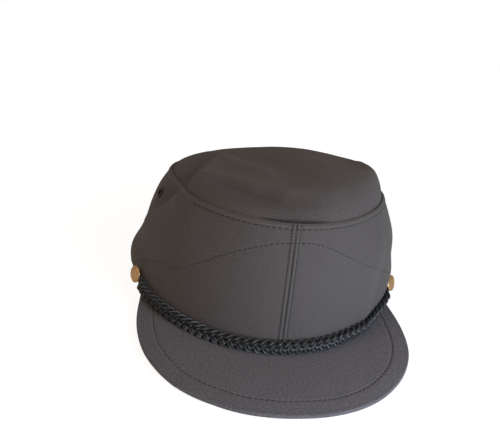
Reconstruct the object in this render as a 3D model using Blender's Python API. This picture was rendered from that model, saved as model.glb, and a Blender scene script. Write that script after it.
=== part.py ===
# Uniform cap: a soft cloth crown of two side panels and a puffed top, a flat peak along the front,
# and a plaited chin cord held by a brass button at each side.
# Lengths are metres. X runs to the wearer's left, Y to the rear, Z up. The floor is Z = 0.

import math

import bmesh
import bpy
import numpy as np
from mathutils import Matrix, Vector

# Crown: oval at the base
RIM_HALF_WIDTH = 0.0846
RIM_FRONT = 0.1059
RIM_REAR = 0.0999

# Crown: top seam, where the side panels meet the top
SEAM_HALF_WIDTH = 0.0733
SEAM_HALF_LENGTH = 0.0856
SEAM_LEAN_SIDE = 0.0030
SEAM_LEAN_FRONT = 0.0046
SEAM_HEIGHT_FRONT = 0.0710
SEAM_HEIGHT_SIDE = 0.0716
SEAM_HEIGHT_REAR = 0.0600

# Crown: cloth and how far it bellies
WALL_THICK = 0.0018
TOP_THICK = 0.0016
BULGE = 0.0084
FOLD_DEPTH = 0.0020
SEAM_GAP = 0.0003

# Crown: puffed top
TOP_HEIGHT = 0.0820
TOP_TILT_SIDE = 0.0073
TOP_TILT_REAR = -0.0080
TOP_SHOULDER = 18.0
TOP_FOLD = 0.0050

# Peak
PEAK_HALF_WIDTH = 0.0787
PEAK_FRONT = 0.1525
PEAK_SQUARE_AT = 0.0629
PEAK_END = 0.0450
PEAK_ROUNDNESS_RIGHT = 2.25
PEAK_ROUNDNESS_LEFT = 2.42
PEAK_THICK = 0.0025
PEAK_SIDE_LIFT = 0.0035
PEAK_WALL_GAP = 0.0004

# Chin cord
CORD_RADIUS = 0.0030
CORD_END_RADIUS = 0.0010
CORD_THINNING = 0.0220
CORD_GAP = 0.0003
CORD_END_RISE = 0.0030
CORD_RISE_POWER = 3.0

# Side buttons
BUTTON_FROM_CENTRE = 0.0426
BUTTON_HEIGHT = 0.0138
BUTTON_RADIUS = 0.0051
BUTTON_THICK = 0.0018
BUTTON_RIM = 0.0007
BUTTON_SHANK_RADIUS = 0.0013
BUTTON_CLEARANCE = 0.0003

# Vent eyelets
EYELET_AROUND = 80.0
EYELET_UP = 0.825
EYELET_HOLE_RADIUS = 0.0014
EYELET_RADIUS = 0.0030
EYELET_LIP = 0.0007
EYELET_GAP = 0.0003

# Fineness of the meshes
PANEL_COLUMNS = 46
PANEL_ROWS = 10
TOP_SPOKES = 72
TOP_RINGS = 11
PEAK_COLUMNS = 56
PEAK_ROWS = 6
CORD_STATIONS = 72

# One row for each upright section of the crown, going round from the centre front.
# around: degrees from the centre front, negative on the wearer's right
# belly: how far the side bellies out, as a share of BULGE
# pull: how far the top seam is drawn in towards the middle, as a share of BULGE
# lift: how far the top seam is raised, as a share of FOLD_DEPTH
SECTIONS = (
    ("around", "belly", "pull", "lift"),
    (-180.0, 0.20, 0.00, 0.0),
    (-150.0, 0.40, 0.05, 0.0),
    (-120.0, 0.75, 0.20, 0.0),
    (-100.0, 0.93, 0.56, 0.0),
    (-82.0, 0.94, 0.76, 0.0),
    (-66.0, 0.80, 0.74, 0.0),
    (-50.0, 0.62, 0.24, 0.0),
    (-30.0, 0.38, 0.03, 0.0),
    (0.0, 0.20, 0.00, 0.0),
    (30.0, 0.40, 0.03, 0.0),
    (50.0, 0.68, 0.08, 0.0),
    (65.0, 0.86, 0.11, 0.0),
    (90.0, 1.00, 0.14, 0.0),
    (120.0, 0.80, 0.10, 0.0),
    (150.0, 0.40, 0.03, 0.0),
)

# One row for each level of the wall.
# up: share of the wall's height; right and left: how far each side bellies out there
LEVELS = (
    ("up", "right", "left"),
    (0.00, 0.00, 0.00),
    (0.15, 0.96, 0.68),
    (0.32, 0.91, 1.10),
    (0.50, 0.94, 1.05),
    (0.68, 0.76, 1.04),
    (0.84, 0.52, 0.65),
    (1.00, 0.00, 0.00),
)

# One row for each fold or dent in the side wall.
# around: degrees from the centre front; up: share of the wall's height
# wide: degrees; tall: share of the wall's height; out: share of FOLD_DEPTH, negative where it is a dent
SIDE_FOLDS = (
    ("around", "up", "wide", "tall", "out"),
    (-66.0, 0.84, 9.0, 0.18, -1.0),
    (-45.0, 0.84, 5.0, 0.20, 0.5),
    (80.0, 0.82, 9.0, 0.18, -0.5),
    (50.0, 0.40, 7.0, 0.40, 0.5),
)

# One row for each soft rise or dip in the top.
# across and along: shares of the seam's half width and half length from its middle, front negative
# wide and long: shares of the same; up: share of TOP_FOLD
TOP_FOLDS = (
    ("across", "along", "wide", "long", "up"),
    (-0.35, 0.00, 0.30, 0.90, 0.21),
    (0.25, 0.00, 0.30, 0.90, 0.30),
    (0.75, 0.00, 0.25, 0.90, -0.60),
    (0.00, -0.95, 0.90, 0.38, -1.20),
    (-0.80, -0.20, 0.25, 0.35, -0.35),
)


def rim_point(turn):
    reach = np.where(np.cos(turn) > 0.0, RIM_FRONT, RIM_REAR)
    return RIM_HALF_WIDTH * np.sin(turn), -reach * np.cos(turn)


def eased(where, places, values):
    """The value at any place, on a smooth line through the listed places."""
    slopes = np.gradient(values, places)
    low = np.clip(np.searchsorted(places, where, side="right") - 1, 0, len(places) - 2)
    span = places[low + 1] - places[low]
    share = (where - places[low]) / span
    start = (1.0 + 2.0 * share) * (1.0 - share) ** 2 * values[low]
    start = start + share * (1.0 - share) ** 2 * span * slopes[low]
    end = share**2 * (3.0 - 2.0 * share) * values[low + 1]
    end = end + share**2 * (share - 1.0) * span * slopes[low + 1]
    return start + end


def section_value(turn, column):
    spot = SECTIONS[0].index(column)
    turns = np.array([row[0] for row in SECTIONS[1:]])
    values = np.array([row[spot] for row in SECTIONS[1:]])
    turns = np.concatenate([turns - 360.0, turns, turns + 360.0])
    degrees = (np.degrees(turn) + 180.0) % 360.0 - 180.0
    return eased(degrees, turns, np.tile(values, 3))


def level_value(turn, up):
    ups = np.array([row[0] for row in LEVELS[1:]])
    right = eased(up, ups, np.array([row[1] for row in LEVELS[1:]]))
    left = eased(up, ups, np.array([row[2] for row in LEVELS[1:]]))
    share = (1.0 + np.sin(turn)) / 2.0
    return right * (1.0 - share) + left * share


def rim_normal(turn):
    across = np.sin(turn) / RIM_HALF_WIDTH
    along = -np.cos(turn) / np.where(np.cos(turn) > 0.0, RIM_FRONT, RIM_REAR)
    length = np.hypot(across, along)
    return across / length, along / length


def seam_point(turn, inset=0.0):
    side = np.sin(turn)
    front = np.cos(turn)
    draw = section_value(turn, "pull") * BULGE + inset
    out_x, out_y = rim_normal(turn)
    x = SEAM_HALF_WIDTH * side + SEAM_LEAN_SIDE - draw * out_x
    y = -SEAM_HALF_LENGTH * front - SEAM_LEAN_FRONT - draw * out_y
    level = SEAM_HEIGHT_REAR + (SEAM_HEIGHT_FRONT - SEAM_HEIGHT_REAR) * (1.0 + front) / 2.0
    extra = SEAM_HEIGHT_SIDE - (SEAM_HEIGHT_FRONT + SEAM_HEIGHT_REAR) / 2.0
    z = level + extra * side**2 + section_value(turn, "lift") * FOLD_DEPTH
    return x, y, z


def wall_point(turn, up):
    """A point on the outside of the crown's wall; up is 0 at the base and 1 at the top seam."""
    base_x, base_y = rim_point(turn)
    top_x, top_y, top_z = seam_point(turn)
    out_x, out_y = rim_normal(turn)
    out = section_value(turn, "belly") * BULGE * level_value(turn, up)
    degrees = np.degrees(turn)
    for around, height, wide, tall, depth in SIDE_FOLDS[1:]:
        away = (degrees - around + 180.0) % 360.0 - 180.0
        hill = np.exp(-((away / wide) ** 2) - ((up - height) / tall) ** 2)
        out = out + depth * FOLD_DEPTH * hill * np.minimum(1.0, 4.0 * up) * np.minimum(1.0, 6.0 * (1.0 - up))
    x = base_x * (1.0 - up) + top_x * up + out * out_x
    y = base_y * (1.0 - up) + top_y * up + out * out_y
    return np.stack([x, y, top_z * up], -1)


def wall_frame(turn, up):
    """A point on the wall with its outward direction and the direction along it to the wearer's left."""
    here = wall_point(turn, up)
    along = wall_point(turn + 0.002, up) - wall_point(turn - 0.002, up)
    rise = wall_point(turn, up + 0.002) - wall_point(turn, up - 0.002)
    out = np.cross(along, rise)
    out = out / np.linalg.norm(out)
    along = along / np.linalg.norm(along)
    return here, out, along


def share_up(turn, height):
    return height / seam_point(turn)[2]


def top_point(turn, reach):
    """A point on the crown's top; reach is 0 at its middle and 1 at its edge."""
    edge_x, edge_y, edge_z = seam_point(turn, WALL_THICK + SEAM_GAP)
    middle_x = SEAM_LEAN_SIDE
    middle_y = -SEAM_LEAN_FRONT
    x = middle_x + (edge_x - middle_x) * reach
    y = middle_y + (edge_y - middle_y) * reach
    across = (x - middle_x) / SEAM_HALF_WIDTH
    along = (y - middle_y) / SEAM_HALF_LENGTH
    edge_across = (edge_x - middle_x) / SEAM_HALF_WIDTH
    edge_along = (edge_y - middle_y) / SEAM_HALF_LENGTH
    flat = TOP_HEIGHT + TOP_TILT_SIDE * across + TOP_TILT_REAR * along
    flat_at_edge = TOP_HEIGHT + TOP_TILT_SIDE * edge_across + TOP_TILT_REAR * edge_along
    z = flat - (flat_at_edge - edge_z) * reach**TOP_SHOULDER
    for fold_x, fold_y, wide, long, rise in TOP_FOLDS[1:]:
        hill = np.exp(-(((across - fold_x) / wide) ** 2) - ((along - fold_y) / long) ** 2)
        z = z + rise * TOP_FOLD * hill * (1.0 - reach**12)
    return np.stack([x, y, z], -1)


def middle_of_outline():
    """The middle of the whole cap seen from above, which becomes X = 0 and Y = 0."""
    turns = np.radians(np.arange(-180.0, 180.0, 1.0))[:, None]
    wall = wall_point(turns, np.linspace(0.0, 1.0, 41)[None, :])
    low_x = wall[..., 0].min()
    high_x = wall[..., 0].max()
    high_y = wall[..., 1].max()
    return np.array([(low_x + high_x) / 2.0, (high_y - PEAK_FRONT) / 2.0, 0.0])


SHIFT = Vector(-middle_of_outline())

BUTTON_TURN = math.acos(BUTTON_FROM_CENTRE / RIM_FRONT)
EYELET_TURN = math.radians(EYELET_AROUND)


def start_scene():
    for thing in list(bpy.data.objects):
        bpy.data.objects.remove(thing, do_unlink=True)
    parts = bpy.data.collections.new("uniform_cap")
    cutters = bpy.data.collections.new("cutters")
    bpy.context.scene.collection.children.link(parts)
    bpy.context.scene.collection.children.link(cutters)
    return parts, cutters


PARTS, CUTTERS = start_scene()


def material(name, colour, roughness, metallic=0.0):
    made = bpy.data.materials.new(name)
    made.use_nodes = True
    surface = made.node_tree.nodes["Principled BSDF"]
    surface.inputs["Base Color"].default_value = (*colour, 1.0)
    surface.inputs["Roughness"].default_value = roughness
    surface.inputs["Metallic"].default_value = metallic
    made.diffuse_color = (*colour, 1.0)
    return made


def add_object(name, mesh_data, collection, surface=None):
    mesh = bpy.data.meshes.new(name)
    mesh_data.to_mesh(mesh)
    mesh_data.free()
    made = bpy.data.objects.new(name, mesh)
    collection.objects.link(made)
    if surface is not None:
        mesh.materials.append(surface)
    return made


def thicken(cloth, thickness):
    """Gives an open surface its thickness on the side away from its faces."""
    bmesh.ops.recalc_face_normals(cloth, faces=cloth.faces)
    bmesh.ops.solidify(cloth, geom=cloth.faces[:], thickness=thickness)
    bmesh.ops.recalc_face_normals(cloth, faces=cloth.faces)


def side_panel(name, side, surface):
    """Half of the crown's wall, from the centre front to the centre rear."""
    cloth = bmesh.new()
    bmesh.ops.create_grid(cloth, x_segments=PANEL_COLUMNS, y_segments=PANEL_ROWS, size=1.0)
    front_edge = 0.5 * SEAM_GAP / RIM_HALF_WIDTH
    for vert in cloth.verts:
        share = (vert.co.x + 1.0) / 2.0
        up = (vert.co.y + 1.0) / 2.0
        turn = side * (front_edge + share * (math.pi - 2.0 * front_edge))
        vert.co = Vector(wall_point(np.array(turn), np.array(up)))
    bmesh.ops.reverse_faces(cloth, faces=[face for face in cloth.faces if side < 0.0])
    bmesh.ops.solidify(cloth, geom=cloth.faces[:], thickness=WALL_THICK)
    bmesh.ops.recalc_face_normals(cloth, faces=cloth.faces)
    lowest = WALL_THICK * 0.6
    for vert in cloth.verts:
        if vert.co.z < lowest:
            vert.co.z = 0.0
    bmesh.ops.translate(cloth, verts=cloth.verts, vec=SHIFT)
    bmesh.ops.triangulate(cloth, faces=cloth.faces)
    return add_object(name, cloth, PARTS, surface)


def crown_top(surface):
    """The puffed top, spun as a flat disc and then drawn to shape."""
    cloth = bmesh.new()
    spoke = []
    for ring in range(TOP_RINGS + 1):
        reach = 1.0 - (1.0 - ring / TOP_RINGS) ** 1.6
        spoke.append(cloth.verts.new((reach, 0.0, 0.0)))
    edges = [cloth.edges.new(pair) for pair in zip(spoke[:-1], spoke[1:])]
    bmesh.ops.spin(
        cloth,
        geom=spoke + edges,
        axis=(0.0, 0.0, 1.0),
        cent=(0.0, 0.0, 0.0),
        angle=2.0 * math.pi,
        steps=TOP_SPOKES,
        use_merge=True,
    )
    bmesh.ops.remove_doubles(cloth, verts=cloth.verts, dist=0.00001)
    for vert in cloth.verts:
        reach = min(1.0, math.hypot(vert.co.x, vert.co.y))
        turn = math.atan2(vert.co.x, -vert.co.y)
        vert.co = Vector(top_point(np.array(turn), np.array(reach)))
    bmesh.ops.recalc_face_normals(cloth, faces=cloth.faces)
    if sum(face.normal.z for face in cloth.faces) < 0.0:
        bmesh.ops.reverse_faces(cloth, faces=cloth.faces)
    bmesh.ops.solidify(cloth, geom=cloth.faces[:], thickness=TOP_THICK)
    bmesh.ops.recalc_face_normals(cloth, faces=cloth.faces)
    bmesh.ops.translate(cloth, verts=cloth.verts, vec=SHIFT)
    bmesh.ops.triangulate(cloth, faces=cloth.faces)
    return add_object("crown_top", cloth, PARTS, surface)


def along_line(points, count):
    """Points spaced evenly along a line of points."""
    steps = np.linalg.norm(np.diff(points, axis=0), axis=1)
    far = np.concatenate([[0.0], np.cumsum(steps)])
    wanted = np.linspace(0.0, far[-1], count)
    return np.stack([np.interp(wanted, far, points[:, 0]), np.interp(wanted, far, points[:, 1])], -1)


def peak_height(x):
    """The underside of the peak, which curls up a little towards its sides."""
    return PEAK_SIDE_LIFT * (x / PEAK_HALF_WIDTH) ** 2


def peak_lines(count):
    """The peak's edge along the crown and its free edge, with as many points in each."""
    turns = np.radians(np.arange(-100.0, 100.5, 0.5))
    level = PEAK_SIDE_LIFT + PEAK_THICK
    walls = np.stack([wall_point(turns, share_up(turns, height)) for height in (0.0, level)])
    out_x, out_y = rim_normal(turns)
    reach = (walls[..., 0] * out_x + walls[..., 1] * out_y).max(0)
    base = walls[0][:, 0] * out_x + walls[0][:, 1] * out_y
    grow = reach - base + PEAK_WALL_GAP
    inner = np.stack([walls[0][:, 0] + grow * out_x, walls[0][:, 1] + grow * out_y], -1)
    inner = inner[inner[:, 1] < -PEAK_END]
    bends = np.radians(np.arange(-90.0, 90.5, 0.5))
    roundness = np.where(bends < 0.0, PEAK_ROUNDNESS_RIGHT, PEAK_ROUNDNESS_LEFT)
    share_side = np.sign(np.sin(bends)) * np.abs(np.sin(bends)) ** (2.0 / roundness)
    share_front = np.abs(np.cos(bends)) ** (2.0 / roundness)
    outer_x = PEAK_HALF_WIDTH * share_side
    outer_y = -PEAK_SQUARE_AT - (PEAK_FRONT - PEAK_SQUARE_AT) * share_front
    outer = np.stack([outer_x, outer_y], -1)
    start = np.array([[-PEAK_HALF_WIDTH, -PEAK_END]])
    end = np.array([[PEAK_HALF_WIDTH, -PEAK_END]])
    outer = np.concatenate([start, outer, end])
    return along_line(inner, count), along_line(outer, count)


def peak(surface):
    """The flat peak, drawn from its edge along the crown to its free edge and given its thickness."""
    inner, outer = peak_lines(PEAK_COLUMNS + 1)
    stiff = bmesh.new()
    bmesh.ops.create_grid(stiff, x_segments=PEAK_COLUMNS, y_segments=PEAK_ROWS, size=1.0)
    for vert in stiff.verts:
        column = round((vert.co.x + 1.0) / 2.0 * PEAK_COLUMNS)
        share = (vert.co.y + 1.0) / 2.0
        spot = inner[column] * (1.0 - share) + outer[column] * share
        vert.co = Vector((spot[0], spot[1], peak_height(spot[0])))
    lifted = bmesh.ops.extrude_face_region(stiff, geom=stiff.faces[:])
    upper = [item for item in lifted["geom"] if isinstance(item, bmesh.types.BMVert)]
    bmesh.ops.translate(stiff, verts=upper, vec=(0.0, 0.0, PEAK_THICK))
    bmesh.ops.recalc_face_normals(stiff, faces=stiff.faces)
    bmesh.ops.translate(stiff, verts=stiff.verts, vec=SHIFT)
    return add_object("peak", stiff, PARTS, surface)


def cord_height(turn):
    """The middle of the cord, which lies on the peak and climbs a little to the buttons."""
    beside = abs(float(rim_point(turn)[0])) + 2.0 * CORD_RADIUS
    on_peak = peak_height(beside) + PEAK_THICK + CORD_GAP + CORD_RADIUS
    return on_peak + CORD_END_RISE * (abs(turn) / BUTTON_TURN) ** CORD_RISE_POWER


def cord_line(count):
    turns = np.linspace(-BUTTON_TURN, BUTTON_TURN, count)
    end_step = (BUTTON_SHANK_RADIUS + BUTTON_CLEARANCE) / RIM_HALF_WIDTH
    turns = turns * (BUTTON_TURN - end_step) / BUTTON_TURN
    spots = []
    radii = []
    for turn in turns:
        share = abs(turn) / BUTTON_TURN
        here, out, along = wall_frame(np.array(turn), np.array(share_up(turn, cord_height(turn))))
        past_button = (1.0 - share) * BUTTON_TURN * RIM_HALF_WIDTH - BUTTON_RADIUS
        fade = max(0.0, min(1.0, past_button / CORD_THINNING))
        radius = CORD_END_RADIUS + (CORD_RADIUS - CORD_END_RADIUS) * fade * fade * (3.0 - 2.0 * fade)
        spots.append(Vector(here + out * (radius + CORD_GAP)))
        radii.append(radius)
    return spots, radii


def chin_cord(surface):
    """The plaited cord as one round bar along the wall, thinner where each button holds it."""
    spots, radii = cord_line(CORD_STATIONS)
    curve = bpy.data.curves.new("chin_cord_line", "CURVE")
    curve.dimensions = "3D"
    curve.bevel_depth = 1.0
    curve.bevel_resolution = 3
    curve.use_fill_caps = True
    line = curve.splines.new("POLY")
    line.points.add(len(spots) - 1)
    for point, spot, radius in zip(line.points, spots, radii):
        point.co = (*(spot + SHIFT), 1.0)
        point.radius = radius
    shape = bpy.data.objects.new("chin_cord_line", curve)
    bpy.context.scene.collection.objects.link(shape)
    seen = bpy.context.evaluated_depsgraph_get()
    mesh = bpy.data.meshes.new_from_object(shape.evaluated_get(seen))
    cord = bmesh.new()
    cord.from_mesh(mesh)
    bmesh.ops.remove_doubles(cord, verts=cord.verts, dist=0.00001)
    bmesh.ops.recalc_face_normals(cord, faces=cord.faces)
    bpy.data.objects.remove(shape, do_unlink=True)
    return add_object("chin_cord", cord, PARTS, surface)


def turned(profile, steps):
    """A solid turned about Z from a line of radius and height pairs."""
    solid = bmesh.new()
    line = [solid.verts.new((radius, 0.0, height)) for radius, height in profile]
    edges = [solid.edges.new(pair) for pair in zip(line[:-1], line[1:])]
    bmesh.ops.spin(
        solid,
        geom=line + edges,
        axis=(0.0, 0.0, 1.0),
        cent=(0.0, 0.0, 0.0),
        angle=2.0 * math.pi,
        steps=steps,
        use_merge=True,
    )
    bmesh.ops.remove_doubles(solid, verts=solid.verts, dist=0.00001)
    bmesh.ops.recalc_face_normals(solid, faces=solid.faces)
    return solid


def stand_on_wall(turn, height, off_wall):
    """Turns Z outward from the wall at this place, and moves to it."""
    here, out, along = wall_frame(np.array(turn), np.array(share_up(turn, height)))
    upright = Vector(np.cross(out, along)).normalized()
    place = Matrix((Vector(along), upright, Vector(out))).transposed().to_4x4()
    place.translation = Vector(here + out * off_wall) + SHIFT
    return place


def side_button(name, side, surface):
    """A plain brass button on a short shank, over the cord's end."""
    seat = CORD_GAP + 2.0 * CORD_END_RADIUS + BUTTON_CLEARANCE
    face = seat + BUTTON_THICK
    profile = (
        (0.0, 0.0),
        (BUTTON_SHANK_RADIUS, 0.0),
        (BUTTON_SHANK_RADIUS, seat),
        (BUTTON_RADIUS * 0.90, seat),
        (BUTTON_RADIUS, seat + BUTTON_THICK * 0.30),
        (BUTTON_RADIUS, seat + BUTTON_THICK * 0.62),
        (BUTTON_RADIUS * 0.95, face - BUTTON_THICK * 0.10),
        (BUTTON_RADIUS * 0.90, face - BUTTON_THICK * 0.04),
        (BUTTON_RADIUS - BUTTON_RIM, face - BUTTON_THICK * 0.10),
        (BUTTON_RADIUS - BUTTON_RIM * 1.4, face - BUTTON_THICK * 0.26),
        (BUTTON_RADIUS * 0.45, face - BUTTON_THICK * 0.06),
        (0.0, face),
    )
    solid = turned(profile, 28)
    place = stand_on_wall(side * BUTTON_TURN, BUTTON_HEIGHT, BUTTON_CLEARANCE)
    bmesh.ops.transform(solid, matrix=place, verts=solid.verts)
    return add_object(name, solid, PARTS, surface)


def vent_eyelet(name, side, panel, surface):
    """A small metal eyelet through the side panel, and the hole that it sits in."""
    turn = side * EYELET_TURN
    height = EYELET_UP * float(seam_point(turn)[2])
    barrel = EYELET_HOLE_RADIUS + 0.5 * EYELET_LIP
    below = -WALL_THICK - EYELET_GAP
    profile = (
        (EYELET_HOLE_RADIUS, below),
        (barrel, below),
        (barrel, EYELET_GAP),
        (EYELET_RADIUS, EYELET_GAP),
        (EYELET_RADIUS, EYELET_GAP + EYELET_LIP * 0.4),
        (EYELET_RADIUS * 0.78, EYELET_GAP + EYELET_LIP),
        (EYELET_HOLE_RADIUS + EYELET_LIP * 0.4, EYELET_GAP + EYELET_LIP),
        (EYELET_HOLE_RADIUS, EYELET_GAP + EYELET_LIP * 0.5),
        (EYELET_HOLE_RADIUS, below),
    )
    place = stand_on_wall(turn, height, EYELET_GAP)
    ring = turned(profile, 16)
    bmesh.ops.transform(ring, matrix=place, verts=ring.verts)
    hole_radius = barrel + EYELET_GAP
    punch = turned(((0.0, -0.006), (hole_radius, -0.006), (hole_radius, 0.004), (0.0, 0.004)), 16)
    bmesh.ops.transform(punch, matrix=place, verts=punch.verts)
    cutter = add_object(name + "_punch", punch, CUTTERS)
    cutter.hide_render = True
    cutter.display_type = "WIRE"
    cut = panel.modifiers.new("eyelet_hole", "BOOLEAN")
    cut.operation = "DIFFERENCE"
    cut.solver = "EXACT"
    cut.object = cutter
    return add_object(name, ring, PARTS, surface)


CLOTH = material("charcoal_twill", (0.105, 0.098, 0.105), 0.95)
PEAK_CLOTH = material("peak_cloth", (0.105, 0.098, 0.105), 0.95)
CORD_BLACK = material("black_plait", (0.012, 0.012, 0.016), 0.45)
BRASS = material("aged_brass", (0.48, 0.24, 0.08), 0.38, 1.0)
EYELET_METAL = material("dark_eyelet", (0.030, 0.028, 0.030), 0.5, 1.0)

crown_top(CLOTH)
PANEL_RIGHT = side_panel("side_panel_right", -1.0, CLOTH)
PANEL_LEFT = side_panel("side_panel_left", 1.0, CLOTH)
peak(PEAK_CLOTH)
chin_cord(CORD_BLACK)
side_button("side_button_right", -1.0, BRASS)
side_button("side_button_left", 1.0, BRASS)
vent_eyelet("vent_eyelet_right", -1.0, PANEL_RIGHT, EYELET_METAL)
vent_eyelet("vent_eyelet_left", 1.0, PANEL_LEFT, EYELET_METAL)
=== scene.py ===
# Uniform cap: a soft charcoal twill crown of two side panels and a puffed top, a flat peak,
# and a plaited chin cord held by a brass button at each side.
# Lengths are metres. X runs to the wearer's left, Y to the rear, Z up. The floor is Z = 0.

import math

import bmesh
import bpy
import numpy as np
from mathutils import Matrix, Vector


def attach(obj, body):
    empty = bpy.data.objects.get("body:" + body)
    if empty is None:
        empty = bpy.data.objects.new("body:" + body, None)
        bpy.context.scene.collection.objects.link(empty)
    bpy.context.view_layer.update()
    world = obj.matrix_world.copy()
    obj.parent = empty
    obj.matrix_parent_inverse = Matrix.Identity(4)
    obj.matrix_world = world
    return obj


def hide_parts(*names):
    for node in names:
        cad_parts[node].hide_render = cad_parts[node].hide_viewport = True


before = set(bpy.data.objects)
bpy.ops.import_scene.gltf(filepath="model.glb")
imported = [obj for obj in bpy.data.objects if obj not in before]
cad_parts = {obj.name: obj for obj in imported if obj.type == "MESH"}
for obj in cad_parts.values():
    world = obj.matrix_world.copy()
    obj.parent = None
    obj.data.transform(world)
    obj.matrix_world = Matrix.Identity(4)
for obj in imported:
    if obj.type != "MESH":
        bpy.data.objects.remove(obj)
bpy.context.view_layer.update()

# Side panels
# Two halves of charcoal wool twill, joined down the front and the rear with a felled seam,
# belly out over a light stiffener and are folded over at the top, where the crown's top is set in.
RIM_HALF_WIDTH = 0.0846
RIM_FRONT = 0.1059
RIM_REAR = 0.0999
SEAM_HALF_WIDTH = 0.0733
SEAM_HALF_LENGTH = 0.0856
SEAM_LEAN_SIDE = 0.0030
SEAM_LEAN_FRONT = 0.0046
SEAM_HEIGHT_FRONT = 0.0710
SEAM_HEIGHT_SIDE = 0.0716
SEAM_HEIGHT_REAR = 0.0600
WALL_THICK = 0.0018
BULGE = 0.0084
FOLD_DEPTH = 0.0020
PEAK_FRONT = 0.1525

# One row for each upright section of the crown, going round from the centre front.
# around: degrees from the centre front, negative on the wearer's right
# belly: how far the side bellies out, as a share of BULGE
# pull: how far the top seam is drawn in towards the middle, as a share of BULGE
SECTIONS = (
    ("around", "belly", "pull"),
    (-180.0, 0.20, 0.00),
    (-150.0, 0.40, 0.05),
    (-120.0, 0.75, 0.20),
    (-100.0, 0.93, 0.56),
    (-82.0, 0.94, 0.76),
    (-66.0, 0.80, 0.74),
    (-50.0, 0.62, 0.24),
    (-30.0, 0.38, 0.03),
    (0.0, 0.20, 0.00),
    (30.0, 0.40, 0.03),
    (50.0, 0.68, 0.08),
    (65.0, 0.86, 0.11),
    (90.0, 1.00, 0.14),
    (120.0, 0.80, 0.10),
    (150.0, 0.40, 0.03),
)

# One row for each level of the wall: how far the wearer's right and left sides belly out there.
LEVELS = (
    ("up", "right", "left"),
    (0.00, 0.00, 0.00),
    (0.15, 0.96, 0.68),
    (0.32, 0.91, 1.10),
    (0.50, 0.94, 1.05),
    (0.68, 0.76, 1.04),
    (0.84, 0.52, 0.65),
    (1.00, 0.00, 0.00),
)

# One row for each broad fold or dent in the wall; out is a share of FOLD_DEPTH.
SIDE_FOLDS = (
    ("around", "up", "wide", "tall", "out"),
    (-66.0, 0.84, 9.0, 0.18, -1.0),
    (-45.0, 0.84, 5.0, 0.20, 0.5),
    (80.0, 0.82, 9.0, 0.18, -0.5),
    (50.0, 0.40, 7.0, 0.40, 0.5),
    (-88.0, 0.48, 16.0, 0.14, -0.85),
    (-88.0, 0.22, 16.0, 0.13, 0.85),
    (66.0, 0.28, 18.0, 0.18, 0.55),
    (62.0, 0.60, 12.0, 0.15, 0.25),
)

# The row of stitches that holds the stiffener: degrees from the centre front, share of the wall's height.
STIFFENER_ROW = (
    ("around", "up"),
    (-82.0, 0.10),
    (-67.5, 0.30),
    (-54.0, 0.42),
    (-44.0, 0.475),
    (-35.0, 0.590),
    (-25.5, 0.710),
    (-17.5, 0.785),
    (-10.0, 0.835),
    (0.0, 0.862),
    (7.5, 0.860),
    (14.5, 0.825),
    (22.0, 0.755),
    (31.0, 0.665),
    (39.5, 0.575),
    (50.0, 0.470),
    (62.0, 0.340),
    (76.0, 0.120),
)

# Soft creases in the wall, each along a line of places given by degrees around and share of the height.
# rise: how high the crease is; drop: how deep the dent along its right side is
# right and left: how far it slopes away on each side of its line, in metres
# pale and the last column: the painted highlight along its crest and the painted shade in its dent, put into
# the cloth's colour
CORNER_CREASE = ((-53.0, 1.02), (-58.0, 0.935), (-64.0, 0.835), (-67.0, 0.77), (-70.0, 0.715), (-79.0, 0.58))
SIDE_CREASE = ((38.5, 0.21), (39.5, 0.39), (43.0, 0.55), (46.0, 0.72))
WALL_CREASES = (
    ("line", "rise", "drop", "right", "left", "pale", "dull"),
    (CORNER_CREASE, 0.0024, 0.0014, 0.0045, 0.0110, 0.22, 0.12),
    (SIDE_CREASE, 0.0012, 0.0003, 0.0045, 0.0100, 0.14, 0.0),
)
CREASE_GIRTH = 0.090
CREASE_HEIGHT = 0.072

EYELET_AROUND = 80.0
EYELET_UP = 0.825
EYELET_HOLE = 0.00255
SEAM_VALLEY = 0.00018
SEAM_RIDGE = 0.00055
FRONT_RIDGE = 0.00028
STITCH_SINK = 0.00042
FRONT_STITCH_SINK = 0.000252
STITCH_SINK_WIDTH = 0.00045
FRONT_ROW = 0.0022
TOP_ROW = 0.0029
TOP_EDGE_ROUND = 0.00080
BASE_EDGE_ROUND = 0.00050
STIFFENER_STEP = 0.00012
STIFFENER_SINK = 0.00010
WALL_WAVES = 0.00022
# Painted highlights on the raised fold beside the front and rear seams and on the welt under the top seam.
FRONT_FOLD_HIGHLIGHT = 0.16
WELT_HIGHLIGHT = 0.12


def rim_point(turn):
    reach = np.where(np.cos(turn) > 0.0, RIM_FRONT, RIM_REAR)
    return RIM_HALF_WIDTH * np.sin(turn), -reach * np.cos(turn)


def eased(where, places, values):
    """The value at any place, on a smooth line through the listed places."""
    slopes = np.gradient(values, places)
    low = np.clip(np.searchsorted(places, where, side="right") - 1, 0, len(places) - 2)
    span = places[low + 1] - places[low]
    share = (where - places[low]) / span
    start = (1.0 + 2.0 * share) * (1.0 - share) ** 2 * values[low]
    start = start + share * (1.0 - share) ** 2 * span * slopes[low]
    end = share**2 * (3.0 - 2.0 * share) * values[low + 1]
    end = end + share**2 * (share - 1.0) * span * slopes[low + 1]
    return start + end


def section_value(turn, column):
    spot = SECTIONS[0].index(column)
    turns = np.array([row[0] for row in SECTIONS[1:]])
    values = np.array([row[spot] for row in SECTIONS[1:]])
    turns = np.concatenate([turns - 360.0, turns, turns + 360.0])
    degrees = (np.degrees(turn) + 180.0) % 360.0 - 180.0
    return eased(degrees, turns, np.tile(values, 3))


def level_value(turn, up):
    ups = np.array([row[0] for row in LEVELS[1:]])
    right = eased(up, ups, np.array([row[1] for row in LEVELS[1:]]))
    left = eased(up, ups, np.array([row[2] for row in LEVELS[1:]]))
    share = (1.0 + np.sin(turn)) / 2.0
    return right * (1.0 - share) + left * share


def rim_normal(turn):
    across = np.sin(turn) / RIM_HALF_WIDTH
    along = -np.cos(turn) / np.where(np.cos(turn) > 0.0, RIM_FRONT, RIM_REAR)
    length = np.hypot(across, along)
    return across / length, along / length


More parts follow.
